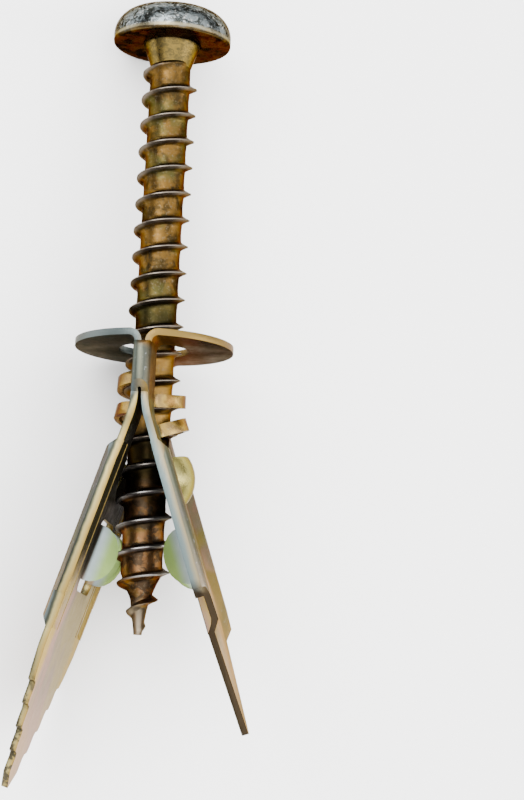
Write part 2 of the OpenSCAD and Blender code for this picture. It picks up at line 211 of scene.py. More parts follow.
def stretched(tree, place, scale):
    """A place with its axes scaled, so that noise runs longer along some of them."""
    return tree.add("ShaderNodeVectorMath", {"operation": "MULTIPLY"}, {0: place, 1: scale})


def axes_of(tree, place):
    """The three parts of a place."""
    parts = tree.node("ShaderNodeSeparateXYZ", {}, {0: place})
    return [Wire(tree, parts.outputs[i]) for i in range(3)]


# ---------------------------------------------------------------- objects


def new_object(name, data):
    """A new object in the scene."""
    made = bpy.data.objects.new(name, data)
    bpy.context.scene.collection.objects.link(made)
    return made


def mesh_of(form, name):
    """Ends a form as a new mesh."""
    mesh = bpy.data.meshes.new(name)
    form.to_mesh(mesh)
    form.free()
    return mesh


def made_plain(piece):
    """Turns a piece with modifiers into a plain mesh."""
    graph = bpy.context.evaluated_depsgraph_get()
    mesh = bpy.data.meshes.new_from_object(piece.evaluated_get(graph))
    piece.modifiers.clear()
    piece.data = mesh


def shade_smooth(piece, sharp):
    """Smooth shading, with the edges that turn more than an angle in degrees kept sharp."""
    piece.data.polygons.foreach_set("use_smooth", [True] * len(piece.data.polygons))
    piece.data.set_sharp_from_angle(angle=math.radians(sharp))


# ---------------------------------------------------------------- settings


class SheetSettings(bpy.types.PropertyGroup):
    """Finish of the folded sheet."""

    edge_round: FloatProperty(
        name="Edge rounding", description="Width of the rounding along the cut edges",
        default=0.00006, min=0.0, max=0.0001, subtype="DISTANCE", unit="LENGTH", precision=5,
    )
    base_colour: FloatVectorProperty(
        name="Plating", description="Main mauve-brown tone of the yellow zinc plating",
        default=(0.115, 0.084, 0.072), size=3, min=0, max=1, subtype="COLOR",
    )
    olive_colour: FloatVectorProperty(
        name="Olive stain", description="Olive tone where the plating is thicker",
        default=(0.125, 0.108, 0.036), size=3, min=0, max=1, subtype="COLOR",
    )
    green_colour: FloatVectorProperty(
        name="Green stain", description="Grey-green tone of the plating near the edges",
        default=(0.075, 0.09, 0.062), size=3, min=0, max=1, subtype="COLOR",
    )
    inner_colour: FloatVectorProperty(
        name="Inner face", description="Pinkish grey tone of the inner faces",
        default=(0.26, 0.205, 0.175), size=3, min=0, max=1, subtype="COLOR",
    )
    tan_colour: FloatVectorProperty(
        name="Leaf ends", description="Tan tone of the outer faces towards the points",
        default=(0.40, 0.262, 0.14), size=3, min=0, max=1, subtype="COLOR",
    )
    # The cream of the cut edges is a painted highlight, where they catch the light.
    lit_edge_colour: FloatVectorProperty(
        name="Cut edge", description="Cream tone of the cut edges",
        default=(0.205, 0.17, 0.072), size=3, min=0, max=1, subtype="COLOR",
    )
    # The blue-grey of the short leaf's edges is a painted sheen, where they catch the light.
    edge_sheen_colour: FloatVectorProperty(
        name="Pale edge", description="Blue-grey tone of the short leaf's edges",
        default=(0.08, 0.102, 0.098), size=3, min=0, max=1, subtype="COLOR",
    )
    # Brighter than the plating elsewhere: partly the plating's gold, partly a painted highlight on the bowed strips and
    # domed scoops.
    gold_colour: FloatVectorProperty(
        name="Drawn metal", description="Gold tone of the strips and scoops, where the metal is drawn out bright",
        default=(0.225, 0.148, 0.038), size=3, min=0, max=1, subtype="COLOR",
    )


class ScrewSettings(bpy.types.PropertyGroup):
    """Sizes and finish of the screw."""

    length: FloatProperty(
        name="Length", description="Length below the head",
        default=0.04515, subtype="DISTANCE", unit="LENGTH", precision=5,
    )
    depth: FloatProperty(
        name="Depth", description="From the flange's underside down to the point",
        default=0.0213, subtype="DISTANCE", unit="LENGTH", precision=5,
    )
    core_radius: FloatProperty(
        name="Core radius", description="Radius of the core between the threads",
        default=0.00153, subtype="DISTANCE", unit="LENGTH", precision=5,
    )
    crest_radius: FloatProperty(
        name="Crest radius", description="Radius of the thread's crest",
        default=0.0021, subtype="DISTANCE", unit="LENGTH", precision=5,
    )
    pitch: FloatProperty(
        name="Pitch", description="Rise of the thread in one turn",
        default=0.00206, subtype="DISTANCE", unit="LENGTH", precision=5,
    )
    steps: IntProperty(name="Steps", description="Steps of the thread in one turn", default=60, min=24, max=96)
    head_radius: FloatProperty(
        name="Head radius", description="Radius of the pan head",
        default=0.00449, subtype="DISTANCE", unit="LENGTH", precision=5,
    )
    core_colour: FloatVectorProperty(
        name="Bronze", description="Bronze tone of the core",
        default=(0.08, 0.044, 0.011), size=3, min=0, max=1, subtype="COLOR",
    )
    # Partly the rubbed silver of the crests, partly a painted highlight on them.
    crest_colour: FloatVectorProperty(
        name="Bright crest", description="Silver tone of the rolled crests",
        default=(0.117, 0.099, 0.081), size=3, min=0, max=1, subtype="COLOR",
    )
    head_colour: FloatVectorProperty(
        name="Head", description="Silver-blue tone of the head",
        default=(0.113, 0.13, 0.134), size=3, min=0, max=1, subtype="COLOR",
    )


class StageSettings(bpy.types.PropertyGroup):
    """Floor, light and camera."""

    floor_colour: FloatVectorProperty(
        name="Floor", description="Tone of the plain pale floor",
        default=(0.96, 0.96, 0.96), size=3, min=0, max=1, subtype="COLOR",
    )
    sky: FloatProperty(name="Sky", description="Strength of the plain light from above", default=5.2, min=0, max=10)
    key: FloatProperty(
        name="Key light", description="Power of the main soft light", default=1.6, min=0, max=50, unit="POWER",
    )


# ---------------------------------------------------------------- folded sheet

# Sizes of the leaves in millimetres, in the plug's own axes, and how far each one spreads in degrees.
FACE_MID = 0.375
EAR_END = 4.25
NECK_LEN = 1.9
SPREAD = {"long": 17.6, "short": 19.1}

# Where the finishes of the sheet begin and end, in millimetres.
FLANGE_LOW = -0.7
FLANGE_RIM = 5.8
FLANGE_BORE = 2.75
EAR_LOW = -EAR_END - 0.2
STRIP_HALF_W = 2.95
STRIP_RADIUS = 3.35
STRIP_HIGH, STRIP_LOW = -2.0, -6.4
STRIP_CLEAR = 0.2
SCOOP_HALF_W = 2.7
SCOOP_END = 7.5
SCOOP_HEIGHT = 0.32
SCOOP_HIGH = -6.0

# Part of a face's normal that tells an edge from a face: on the flange, on the leaves, and on the ears.
FLANGE_LEAN = 0.35
LEAF_LEAN = 0.2
EAR_LEAN = 0.6

# The finishes of the sheet, in the order of its material slots.
PLATED, CUT_EDGE, DRAWN, INNER = range(4)

# Merging distance in metres, and angles in degrees of the sheet's faces and edges.
WELD = 0.0000015
FLAT_ANGLE = 0.6
BEVEL_ANGLE = 35
SHEET_SHARP = 40

# Stations between which a tone comes in, in millimetres in the plug's own axes, or out of a leaf.
FLANGE_IN = (-1.3, -0.7)
EAR_IN = (-4.7, -4.3)
COLLAR_IN = (-4.6, -4.2)
SCOOP_IN = (-6.6, -7.6)
TAB_TOP_IN = (-11.5, -12.5)
TAB_FOOT_IN = (-21.5, -20.5)
TAB_IN = (-0.33, -0.55)
TAB_GREEN_IN = (-0.6, -1.5)
TAN_IN = (-13.0, -20.0)
OLIVE_IN = (-26.0, -12.0)
GREEN_IN = (-24.0, -10.0)
SIDE_IN = (5.4, 6.0)
INNER_END_IN = (-25.0, -28.5)
INNER_RIM_HIGHLIGHT_IN = (4.4, 6.0)
INNER_SHADE_IN = (-17.5, -13.0)
TEETH_IN = (-24.0, -26.0)
SHORT_END_SHADOW_IN = (-17.6, -18.6)

# Scales that draw the clouds out down a leaf, and the scratches and grain more so.
CLOUD_STRETCH = (1.0, 0.55, 1.0)
SCRATCH_STRETCH = (1.6, 0.14, 1.6)
GRAIN_STRETCH = (6.0, 0.8, 6.0)

# Tones of the sheet beside those in its settings.
SHEET_SHEEN = (0.36, 0.29, 0.2)
# Painted light on the bent tabs: bluish at the root's bend, pale green where they face the light.
TAB_ROOT_LIGHT = (0.22, 0.265, 0.265)
TAB_RIM_LIGHT = (0.17, 0.25, 0.075)
FLANGE_SLATE = (0.026, 0.038, 0.036)
FLANGE_AMBER = (0.12, 0.055, 0.006)
FLANGE_UMBER = (0.014, 0.011, 0.003)
FLANGE_HAZE = (0.03, 0.032, 0.018)
# Painted light and shade across the ears' rounded bend.
EAR_LIGHT_BANDS = (
    (0.0, (0.03, 0.042, 0.045)), (0.28, (0.06, 0.078, 0.06)), (0.5, (0.13, 0.128, 0.06)),
    (0.66, (0.022, 0.022, 0.007)), (1.0, (0.12, 0.075, 0.018)),
)
PLATED_SPECK = (0.2, 0.165, 0.135)
PLATED_SIDE = (0.05, 0.06, 0.055)
PLATED_RUBBED = (0.31, 0.325, 0.34)
INNER_YELLOW = (0.33, 0.28, 0.14)
INNER_PINK = (0.403, 0.245, 0.202)
INNER_END = (0.42, 0.27, 0.21)
INNER_RIM_HIGHLIGHT = (0.403, 0.288, 0.094)
INNER_PAINTED_SHADE = (0.007, 0.008, 0.004)
INNER_RUBBED = (0.475, 0.461, 0.432)
EDGE_TEETH = (0.043, 0.037, 0.022)
EDGE_SHORT_END_SHADOW = (0.019, 0.013, 0.007)
COLLAR_SLATE = (0.062, 0.077, 0.077)
COLLAR_GOLD = (0.136, 0.087, 0.022)
DRAWN_OCHRE = (0.13, 0.085, 0.035)
DRAWN_AMBER = (0.075, 0.036, 0.009)
DRAWN_GREEN = (0.224, 0.21, 0.07)
DRAWN_RUBBED = (0.525, 0.49, 0.385)


def leaf_axes(which):
    """Unit vectors (down the leaf, out of the leaf) and a point of its middle face."""
    side = -1 if which == "long" else 1
    angle = math.radians(SPREAD[which])
    bend = FACE_MID + NECK_LEN / angle
    down = Vector((side * math.sin(angle), -math.cos(angle), 0))
    out = Vector((side * math.cos(angle), math.sin(angle), 0))
    reach = FACE_MID - bend
    foot = Vector((side * (bend + reach * math.cos(angle)), -EAR_END + reach * math.sin(angle), 0))
    return down, out, foot


def tidy_copy(node, name):
    """A merged copy of a CAD node, with the flat faces of the solid joined into whole faces."""
    mesh = node.data.copy()
    mesh.name = name
    piece = new_object(name, mesh)
    form = bmesh.new()
    form.from_mesh(mesh)
    bmesh.ops.remove_doubles(form, verts=form.verts, dist=WELD)
    bmesh.ops.dissolve_limit(
        form, angle_limit=math.radians(FLAT_ANGLE), use_dissolve_boundaries=False, verts=form.verts, edges=form.edges
    )
    form.to_mesh(mesh)
    form.free()
    mesh.materials.clear()
    return piece


def face_finish(centre, normal, leaf):
    """The finish of a face of the sheet, from its centre and normal in the plug's own axes."""
    down, out, foot = leaf
    height = (centre - foot).dot(out)
    station = (centre - foot).dot(down)
    across = abs(centre.z)
    radius = math.hypot(centre.x, centre.z)
    beside = across < STRIP_HALF_W and STRIP_LOW < centre.y < STRIP_HIGH and abs(centre.x) > STRIP_CLEAR
    if beside and radius < STRIP_RADIUS:
        return DRAWN
    if across < SCOOP_HALF_W and 0.0 < station < SCOOP_END and height > SCOOP_HEIGHT and centre.y < SCOOP_HIGH:
        return DRAWN
    if centre.y > FLANGE_LOW:
        upright = abs(normal.y) < FLANGE_LEAN
        return CUT_EDGE if upright and not FLANGE_BORE <= radius <= FLANGE_RIM else PLATED
    if centre.y > EAR_LOW:
        return CUT_EDGE if abs(normal.y) > EAR_LEAN else PLATED
    if abs(normal.dot(out)) < LEAF_LEAN:
        return CUT_EDGE
    return INNER if normal.dot(out) < 0 else PLATED


def sort_sheet_faces(piece):
    """Gives each face of the sheet the slot of its finish."""
    back = LYING.inverted()
    turn = back.to_3x3()
    leaves = {which: leaf_axes(which) for which in SPREAD}
    for face in piece.data.polygons:
        centre = back @ face.center / MM
        leaf = leaves["long" if centre.x < 0 else "short"]
        face.material_index = face_finish(centre, (turn @ face.normal).normalized(), leaf)


def scratches(tree, place):
    """Mask of fine scratches down the leaf and of small rubbed flecks."""
    along = stretched(tree, place, SCRATCH_STRETCH)
    scratch = tree.noise(along, 2.6, detail=5.0, rough=0.72, twist=1.4).rise(0.63, 0.68)
    fleck = tree.noise(place, 2.1, detail=5.0, rough=0.75, twist=0.5).rise(0.62, 0.69)
    return (scratch * 0.4 + fleck * 0.55).at_most(1.0)


def leaf_height(tree, place, x):
    """Height over the middle face of the nearer leaf, in millimetres, outwards."""
    sides = []
    for which in ("long", "short"):
        _, out, foot = leaf_axes(which)
        away = tree.add("ShaderNodeVectorMath", {"operation": "SUBTRACT"}, {0: place, 1: tuple(foot)})
        sides.append(tree.add("ShaderNodeVectorMath", {"operation": "DOT_PRODUCT"}, {0: away, 1: tuple(out)}, 1))
    right = x.rise(-0.02, 0.02)
    return sides[0] * (1.0 - right) + sides[1] * right


def painted_tab_light(tree, tone, height, y):
    """Painted light on the bent tabs: pale green where they face the light, bluish towards their roots across the bend.
    """
    tab = height.rise(*TAB_IN) * y.rise(*TAB_FOOT_IN) * y.rise(*TAB_TOP_IN)
    green = tree.mix(height.rise(*TAB_GREEN_IN, smooth=True), TAB_ROOT_LIGHT, TAB_RIM_LIGHT)
    return tree.over(tone, tab, green, share=0.95)


def finish_sheet(tree, shader, place, tone, worn, metallic, rough):
    """Metal, roughness and relief of the faces of the sheet."""
    patches = tree.noise(place, 1.1, detail=4.0, rough=0.65).rise(*NOISE_SPAN, *rough)
    relief = tree.noise(place, 3.2, detail=5.0, rough=0.6) + worn * 0.25
    coat(tree, shader, tone, patches, relief, metallic, SHEET_SHEEN, strength=0.25, distance=0.00006)
    shader.inputs["Specular IOR Level"].default_value = 0.1


def plated_material(colours):
    """Iridescent yellow zinc outside: mauve-brown with olive clouds, tan towards the points."""
    material, tree, shader = new_material("yellow_zinc_plating")
    place = plug_place(tree)
    x, y, z = axes_of(tree, place)
    cloud = tree.noise(place, 0.17, detail=3.0, rough=0.55, twist=0.6).rise(0.44, 0.58, smooth=True)
    haze = tree.noise(stretched(tree, place, CLOUD_STRETCH), 0.42, detail=4.0, rough=0.6, twist=0.8)
    haze = haze.rise(0.42, 0.62, smooth=True)
    speck = tree.noise(place, 5.5, detail=4.0, rough=0.7).rise(0.50, 0.72)
    tan = y.rise(*TAN_IN, to_high=0.85, smooth=True)
    tone = tree.mix(tan, tuple(colours.base_colour), tuple(colours.tan_colour))
    tone = tree.mix(cloud * y.rise(*OLIVE_IN, 0.35, 0.85), tone, tuple(colours.olive_colour))
    tone = tree.mix(haze * y.rise(*GREEN_IN, 0.2, 0.6), tone, tuple(colours.green_colour))
    # The flange is amber on the short leaf's half and slate on the long leaf's half.
    flange = y.rise(*FLANGE_IN, smooth=True)
    amber = tree.mix(x.rise(1.0, 4.2), FLANGE_AMBER, FLANGE_UMBER)
    halves = tree.mix(x.rise(-0.4, 0.4), FLANGE_SLATE, amber)
    halves = tree.over(halves, haze, FLANGE_HAZE, share=0.3)
    tone = tree.over(tone, flange, halves, share=0.92)
    # The ears run from slate through pale green and olive to gold: painted light and shade across the rounded bend of
    # each ear.
    ear = y.rise(*EAR_IN) * (1.0 - flange)
    ear_light_band = tree.ramp((x + haze * 0.15).rise(-0.75, 0.85), EAR_LIGHT_BANDS)
    tone = tree.over(tone, ear, ear_light_band, share=0.85)
    tone = tree.over(tone, speck * (1.0 - flange * 0.8), PLATED_SPECK, share=0.25)
    tone = tree.over(tone, abs(z).rise(*SIDE_IN) * (1.0 - flange), PLATED_SIDE, share=0.6)
    worn = scratches(tree, place)
    tone = tree.over(tone, worn * (1.0 - flange * 0.7), PLATED_RUBBED, share=0.8)
    tone = painted_tab_light(tree, tone, leaf_height(tree, place, x), y)
    finish_sheet(tree, shader, place, tone, worn, metallic=0.96, rough=(0.34, 0.52))
    return material


def inner_material(colours):
    """Inner faces: painted shade near the bend, pinkish grey below with yellow and pink clouds and gold rims, the rims
    painted highlights.
    """
    material, tree, shader = new_material("yellow_zinc_inner_face")
    place = plug_place(tree)
    x, y, z = axes_of(tree, place)
    cloud = tree.noise(stretched(tree, place, CLOUD_STRETCH), 0.24, detail=1.5, rough=0.5, twist=0.6)
    tone = tree.mix(cloud.rise(0.44, 0.58, to_high=0.7, smooth=True), tuple(colours.inner_colour), INNER_YELLOW)
    tone = tree.mix(cloud.rise(0.46, 0.36, to_high=0.65, smooth=True), tone, INNER_PINK)
    tone = tree.mix(y.rise(*INNER_END_IN, to_high=0.6, smooth=True), tone, INNER_END)
    # Painted highlight: gold along the rims of the inner faces, where their curved sides catch the light.
    rim = abs(z) + tree.noise(place, 0.8, detail=3.0, rough=0.6) * 1.6
    tone = tree.mix(rim.rise(*INNER_RIM_HIGHLIGHT_IN, to_high=0.95, smooth=True), tone, INNER_RIM_HIGHLIGHT)
    # Painted shade: the inner faces turn near black towards the bend, where the leaves shade each other.
    dark = (y + tree.noise(place, 0.5, detail=3.0, rough=0.6) * 4.0).rise(*INNER_SHADE_IN, smooth=True)
    tone = tree.over(tone, dark, INNER_PAINTED_SHADE, share=0.96)
    worn = scratches(tree, place) * 0.5
    tone = tree.mix(worn * (1.0 - dark), tone, INNER_RUBBED)
    tone = painted_tab_light(tree, tone, leaf_height(tree, place, x), y)
    finish_sheet(tree, shader, place, tone, worn, metallic=0.7, rough=(0.38, 0.56))
    return material


def cut_edge_material(colours):
    """Edges: painted light and shade in bands across their thickness, slate, olive and gold on the long leaf and
    blue-grey on the short one, with painted shadow at the short one's end.
    """
    # Bands of painted highlight and shade across the thickness of the edges, standing in for the light on their curved
    # sides.
    long_edge_light_bands = (
        (0.0, (0.06, 0.044, 0.018)), (0.24, (0.2, 0.135, 0.034)), (0.52, tuple(colours.lit_edge_colour)),
        (0.68, (0.034, 0.038, 0.027)), (0.8, (0.02, 0.022, 0.017)), (1.0, (0.075, 0.095, 0.096)),
    )
    short_edge_light_bands = (
        (0.0, (0.068, 0.099, 0.105)), (0.40, tuple(colours.edge_sheen_colour)),
        (0.72, (0.161, 0.136, 0.081)), (1.0, (0.074, 0.05, 0.022)),
    )
    material, tree, shader = new_material("yellow_zinc_cut_edge")
    place = plug_place(tree)
    x, y, _ = axes_of(tree, place)
    height = leaf_height(tree, place, x)
    across = (height + (tree.noise(place, 0.5, detail=3.0, rough=0.6) - 0.5) * 0.35).rise(-0.42, 0.55)
    teeth = tree.noise(place, 1.6, detail=3.0, rough=0.6).rise(0.46, 0.56) * y.rise(*TEETH_IN)
    gold = tree.mix(teeth, tree.ramp(across, long_edge_light_bands), EDGE_TEETH)
    # Painted shadow: the short leaf's edge goes near black towards its end.
    pale = tree.mix(y.rise(*SHORT_END_SHADOW_IN), tree.ramp(across, short_edge_light_bands), EDGE_SHORT_END_SHADOW)
    tone = tree.mix(x.rise(-0.15, 0.15), gold, pale)
    collar = tree.mix(x.rise(-0.5, 0.5), COLLAR_SLATE, COLLAR_GOLD)
    tone = tree.over(tone, y.rise(*COLLAR_IN), collar, share=0.8)
    tone = painted_tab_light(tree, tone, height, y)
    grain = tree.noise(stretched(tree, place, GRAIN_STRETCH), 2.0, detail=4.0, rough=0.6)
    rough = grain.rise(*NOISE_SPAN, 0.28, 0.46)
    coat(tree, shader, tone, rough, grain, 0.7, SHEET_SHEEN, strength=0.25, distance=0.00005)
    return material


def drawn_metal_material(colours):
    """Strips and scoops: gold with amber and pale green clouds, brighter than the plating elsewhere, partly as a
    painted highlight on their bowed faces.
    """
    material, tree, shader = new_material("yellow_zinc_strips_gold_and_highlight")
    place = plug_place(tree)
    y = axes_of(tree, place)[1]
    cloud = tree.noise(place, 0.6, detail=2.0, rough=0.5, twist=0.4)
    tone = tree.mix(cloud.rise(0.44, 0.62, smooth=True), tuple(colours.gold_colour), DRAWN_OCHRE)
    tone = tree.mix(cloud.rise(0.50, 0.36, to_high=0.8, smooth=True), tone, DRAWN_AMBER)
    tone = tree.mix(y.rise(*SCOOP_IN, to_high=0.75), tone, DRAWN_GREEN)
    worn = tree.noise(place, 2.6, detail=4.0, rough=0.7).rise(0.62, 0.72) * 0.15
    tone = tree.mix(worn, tone, DRAWN_RUBBED)
    finish_sheet(tree, shader, place, tone, worn, metallic=0.85, rough=(0.18, 0.34))
    return material


class PLUG_OT_fold_sheet(bpy.types.Operator):
    """Finishes the folded sheet: rounded cut edges and its plating"""

    bl_idname = "plug.fold_sheet"
    bl_label = "Folded sheet"

    def execute(self, context):
        settings = context.scene.plug_sheet
        piece = tidy_copy(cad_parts["plug_body"], "folded_sheet")
        sort_sheet_faces(piece)
        for finish in (plated_material, cut_edge_material, drawn_metal_material, inner_material):
            piece.data.materials.append(finish(settings))
        rounding = piece.modifiers.new("edge rounding", "BEVEL")
        rounding.limit_method = "ANGLE"
        rounding.angle_limit = math.radians(BEVEL_ANGLE)
        rounding.width = settings.edge_round
        rounding.segments = 2
        rounding.use_clamp_overlap = True
        made_plain(piece)
        shade_smooth(piece, SHEET_SHARP)
        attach(piece, "plug")
        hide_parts("plug_body")
        return {"FINISHED"}


# ---------------------------------------------------------------- screw

# Lesser sizes of the screw, in metres and degrees. Heights on the thread are from its point.
POINT_LEN = 0.0045
SLENDER_LEN = 0.0026
SLENDER_RADIUS = 0.0007
TIP_RADIUS = 0.0003
ROOT_WIDTH = 0.0007
CREST_WIDTH = 0.00008
THREAD_TOP = 0.04365
THREAD_TURN = 69.0
FADE_LEN = 0.0008
FLARE_LEN = 0.0018
FLARE_RADIUS = 0.00215
HEAD_SIDE = 0.0007
SHOULDER_RADIUS = 0.0019
DOME_ANGLE = 18.0
RELIEF_WIDTH = 0.00025
RELIEF_DEPTH = 0.0001
RECESS_WIDTH = 0.0046
RECESS_SLOT = 0.001
RECESS_DEPTH = 0.002
RIM_RADIUS = 0.0002

# The flare's blind end, hidden in the core: how far it reaches below the flare, and its inset.
BLIND_TIP = 0.0004
BLIND_RIM = 0.0003
BLIND_INSET = 0.00012

# Tapered cross of the recess: shares of its width and slot, and depth below the cutter's top.
CUTTER_RISE = 0.0004
CUTTER_RINGS = ((1.0, 1.12, 0.0), (0.98, 1.1, 0.0006), (0.42, 0.8, CUTTER_RISE + RECESS_DEPTH))

# The thread's profile: where its crest, flanks and fillets end, as shares of half a pitch.
PROFILE_POINTS = 17
CREST_END = 0.125
FLANK_END = 0.625
FILLET_END = 0.9
FLANK_POWER = 1.25
FILLET_HEIGHT = 0.06
SPARE_TURNS = 0.6
THREAD_OVERRUN = 0.0003

# Merging distances in metres, and angles in degrees from which edges stay sharp.
THREAD_MERGE = 0.000001
SHELL_MERGE = 0.0000008
SLIVER = 0.0000002
ON_AXIS = 1e-9
SHANK_SHARP = 50
HEAD_SHARP = 35

# Stations between which a tone comes in, in millimetres in the plug's own axes.
WARM_TOP_IN, WARM_FOOT_IN = (0.2, -0.6), (-6.6, -5.6)
# Painted shade on the core, from just above the flange down between the leaves, stronger further down.
SHADE_TOP_IN, SHADE_FOOT_IN = (4.5, 1.5), (-15.5, -11.0)
SHADE_DEEP_IN = (-0.6, -5.6)
COPPER_IN = (-9.0, -13.0)
PAINTED_REFLECTION_IN = (-9.0, -12.0)
TIP_IN = (-18.6, -20.4)
CREST_IN = (1.74, 2.02)
CREST_HIGHLIGHT_IN = (-8.0, -11.0)

# The same, above the head's seat and out from the axis.
FLARE_IN, FLARE_SIDE_IN = (0.05, -0.1), (2.6, 2.2)
SILVER_IN = (0.30, 0.75)
HIGHLIGHT_FOOT_IN, HIGHLIGHT_TOP_IN = (0.16, 0.24), (0.50, 0.34)

# Tones of the screw beside those in its settings.
SCREW_SHEEN = (0.36, 0.3, 0.22)
SHANK_CLOUD = (0.026, 0.017, 0.006)
SHANK_GREEN = (0.044, 0.042, 0.013)
SHANK_WARM = (0.15, 0.082, 0.02)
# Painted shade on the core inside the plug.
SHANK_PAINTED_SHADE = (0.006, 0.0045, 0.002)
SHANK_COPPER = (0.105, 0.05, 0.021)
SHANK_PAINTED_REFLECTION = (0.016, 0.013, 0.009)
SHANK_SPECK = (0.15, 0.128, 0.09)
SHANK_TIP = (0.2, 0.165, 0.115)
CREST_HIGHLIGHT = (0.21, 0.2, 0.19)
HEAD_GOLD_IN_SHADE = (0.062, 0.042, 0.017)
HEAD_UMBER = (0.022, 0.017, 0.009)
HEAD_MARK = (0.019, 0.021, 0.019)
HEAD_SPECK = (0.294, 0.298, 0.286)
FLARE_GOLD = (0.12, 0.082, 0.021)
FLARE_MARK = (0.055, 0.042, 0.016)
HEAD_HIGHLIGHT_LINE = (0.24, 0.21, 0.13)


def thread_nodes():
    """Winds one thread profile, a pitch wide, round the core so that each turn meets the next."""
    group = bpy.data.node_groups.new("wound thread", "GeometryNodeTree")
    group.interface.new_socket("Geometry", in_out="OUTPUT", socket_type="NodeSocketGeometry")
    names = (
        "Core radius", "Crest radius", "Pitch", "Top", "Turn", "Fade", "Point length", "Slender length",
        "Slender radius", "Tip radius", "Root width", "Crest width", "Turns",
    )
    for name in names:
        group.interface.new_socket(name, in_out="INPUT", socket_type="NodeSocketFloat")
    group.interface.new_socket("Rows", in_out="INPUT", socket_type="NodeSocketInt")
    group.interface.new_socket("Material", in_out="INPUT", socket_type="NodeSocketMaterial")
    tree = Tree(group)
    given = group.nodes.new("NodeGroupInput")
    size = {name: Wire(tree, given.outputs[name]) for name in (*names, "Rows", "Material")}
    grid = tree.add("GeometryNodeMeshGrid", {}, {
        "Size X": 1.0, "Size Y": 1.0, "Vertices X": PROFILE_POINTS, "Vertices Y": size["Rows"],
    })
    across, along, _ = axes_of(tree, tree.add("GeometryNodeInputPosition"))
    across, along = across * 2.0, along + 0.5
    off = abs(across)
    half_crest = size["Crest width"] * 0.5
    half_root = size["Root width"] * 0.5
    side = (
        off.rise(0.0, CREST_END, 0.0, half_crest)
        + off.rise(CREST_END, FLANK_END, 0.0, half_root - half_crest)
        + off.rise(FLANK_END, 1.0, 0.0, size["Pitch"] * 0.5 - half_root)
    )
    sign = tree.add("ShaderNodeMath", {"operation": "SIGN"}, {0: across})
    turned = along * size["Turns"]
    middle = size["Top"] + size["Pitch"] - turned * size["Pitch"]
    height = (middle + sign * side).at_most(size["Top"] + THREAD_OVERRUN).at_least(0.0)
    slender = height.rise(0.0, size["Slender length"], 0.0, size["Slender radius"] - size["Tip radius"])
    taper = height.rise(size["Slender length"], size["Point length"], 0.0, size["Core radius"] - size["Slender radius"])
    core = size["Tip radius"] + slender + taper
    crest = height.rise(0.0, size["Point length"], size["Tip radius"], size["Crest radius"])
    fade = ((size["Top"] - middle) / size["Fade"]).at_most(1.0).at_least(0.0)
    flank = 1.0 - off.rise(CREST_END, FLANK_END)
    fillet = FILLET_HEIGHT * off.rise(FLANK_END, FILLET_END, 1.0, 0.0)
    ridge = (flank ** FLANK_POWER + fillet * (1.0 - flank)) * off.rise(FILLET_END, 1.0, 1.0, 0.0)
    radius = core + (crest - core).at_least(0.0) * fade * ridge
    angle = size["Turn"] - (turned - 1.0) * (2.0 * math.pi)
    sine = tree.add("ShaderNodeMath", {"operation": "SINE"}, {0: angle})
    cosine = tree.add("ShaderNodeMath", {"operation": "COSINE"}, {0: angle})
    place = tree.add("ShaderNodeCombineXYZ", {}, {0: radius * sine, 1: height, 2: radius * cosine})
    wound = tree.add("GeometryNodeSetPosition", {}, {"Geometry": grid, "Position": place})
    joined = tree.add("GeometryNodeMergeByDistance", {}, {"Geometry": wound, "Distance": THREAD_MERGE})
    real = tree.add("GeometryNodeRealizeInstances", {}, {"Geometry": joined})
    coated = tree.add("GeometryNodeSetMaterial", {}, {"Geometry": real, "Material": size["Material"]})
    out = group.nodes.new("NodeGroupOutput")
    group.links.new(coated.socket, out.inputs[0])
    return group


def set_input(modifier, name, value):
    """Sets a named input of a modifier's tree through its identifier."""
    for item in modifier.node_group.interface.items_tree:
        if item.item_type == "SOCKET" and item.in_out == "INPUT" and item.name == name:
            modifier[item.identifier] = value
            return
    raise ValueError(f"the tree has no input named {name}")


def closed(form):
    """Fills the open ends of a shell and turns its faces outwards."""
    bmesh.ops.remove_doubles(form, verts=form.verts, dist=SHELL_MERGE)
    bmesh.ops.dissolve_degenerate(form, edges=form.edges, dist=SLIVER)
    bmesh.ops.holes_fill(form, edges=[edge for edge in form.edges if edge.is_boundary], sides=0)
    bmesh.ops.recalc_face_normals(form, faces=form.faces)


def arc(centre, radius, start, end, count):
    """Points of an arc in (radius, height), in degrees."""
    turns = [math.radians(start + (end - start) * i / count) for i in range(count + 1)]
    return [(centre[0] + radius * math.cos(a), centre[1] + radius * math.sin(a)) for a in turns]


def lathe(form, profile, count=96):
    """Turns a profile of (radius, height) about Y; its ends lie on the axis."""
    rings = []
    for radius, height in profile:
        if radius < ON_AXIS:
            rings.append([form.verts.new((0, height, 0))])
        else:
            turns = [2 * math.pi * i / count for i in range(count)]
            rings.append([form.verts.new((radius * math.sin(a), height, radius * math.cos(a))) for a in turns])
    for low, high in zip(rings, rings[1:]):
        for i in range(count):
            k = (i + 1) % count
            if len(low) == 1:
                form.faces.new((low[0], high[i], high[k]))
            elif len(high) == 1:
                form.faces.new((low[i], high[0], low[k]))
            else:
                form.faces.new((low[i], high[i], high[k], low[k]))
    bmesh.ops.recalc_face_normals(form, faces=form.faces)


